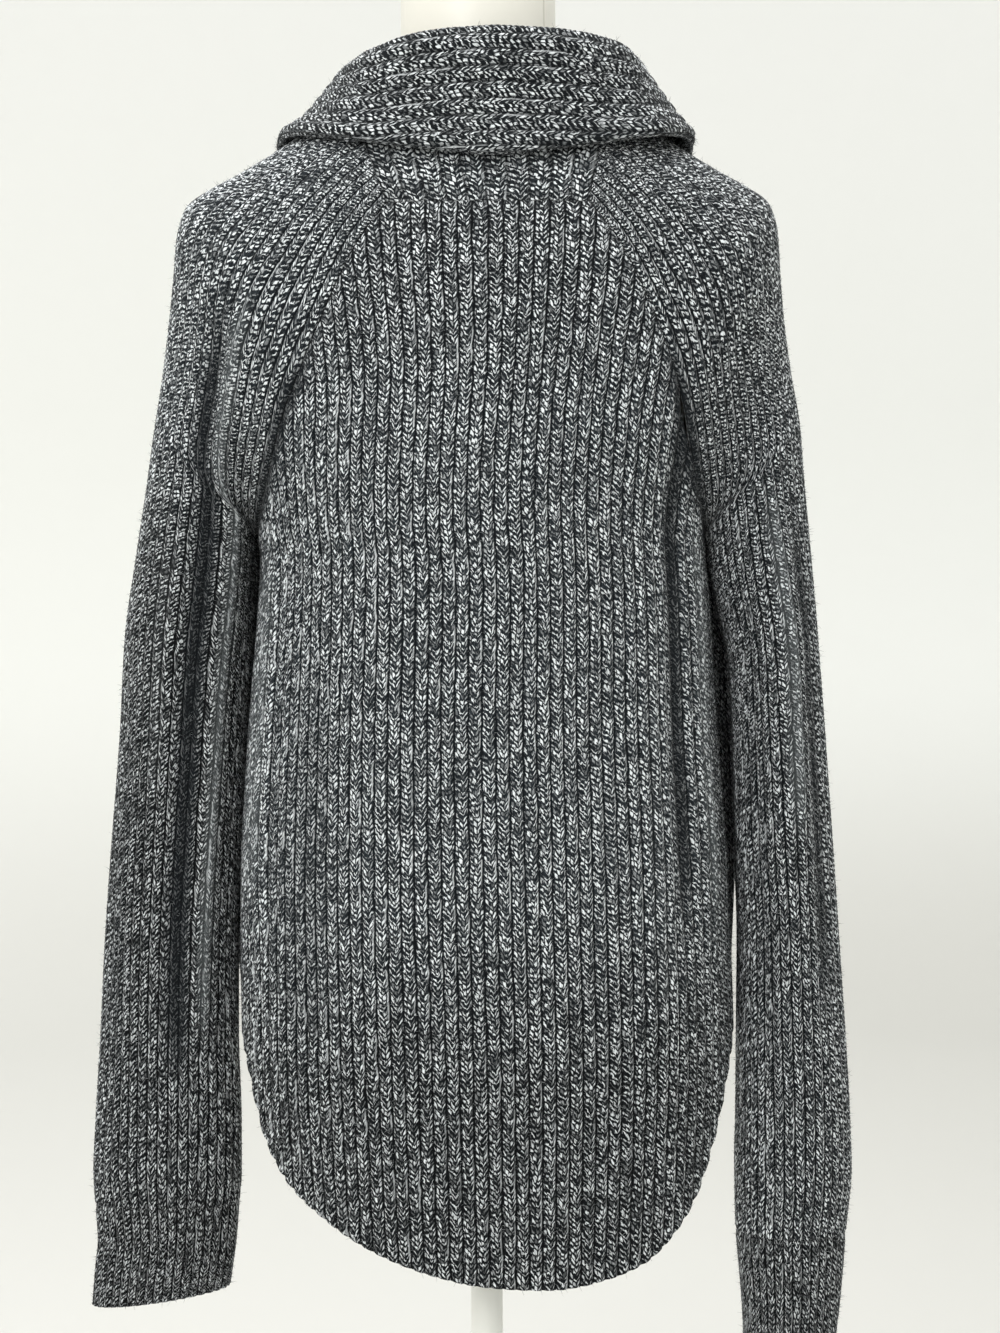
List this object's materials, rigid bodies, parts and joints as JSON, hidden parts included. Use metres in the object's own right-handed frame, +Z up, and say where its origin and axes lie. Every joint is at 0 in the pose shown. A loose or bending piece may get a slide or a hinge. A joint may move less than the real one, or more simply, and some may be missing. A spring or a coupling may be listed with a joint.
{
  "type": "shawl collar cardigan on a dress form",
  "caption": "Long-sleeved open cardigan in chunky marled rib knit, with raglan sleeves, a folded shawl collar and a rounded tail hem, worn by a white limbless form on a pole stand.",
  "frame": {"origin": "centre of the underside of the stand's round base plate", "axes": "+Z up along the pole, -Y the cardigan's open front, +X the wearer's left"},
  "size_m": [0.511, 0.291, 1.322],
  "materials": {
    "back": "chunky marled rib knit, charcoal and off-white yarn",
    "front_left": "chunky marled rib knit, charcoal and off-white yarn",
    "front_right": "chunky marled rib knit, charcoal and off-white yarn",
    "sleeve_left": "chunky marled rib knit, charcoal and off-white yarn",
    "sleeve_right": "chunky marled rib knit, charcoal and off-white yarn",
    "cuff_left": "chunky marled rib knit, charcoal and off-white yarn",
    "cuff_right": "chunky marled rib knit, charcoal and off-white yarn",
    "back_neck_strip": "chunky marled rib knit, charcoal and off-white yarn",
    "collar": "chunky marled rib knit, charcoal and off-white yarn",
    "dress_form": "smooth warm white shell",
    "stand_pole": "white powder coat",
    "stand_base": "white powder coat"
  },
  "bodies": {
    "root": {"back": "back", "front_left": "front_left", "front_right": "front_right", "sleeve_left": "sleeve_left", "sleeve_right": "sleeve_right", "cuff_left": "cuff_left", "cuff_right": "cuff_right", "back_neck_strip": "back_neck_strip", "collar": "collar", "dress_form": "dress_form", "stand_pole": "stand_pole", "stand_base": "stand_base"}
  },
  "joints": []
}
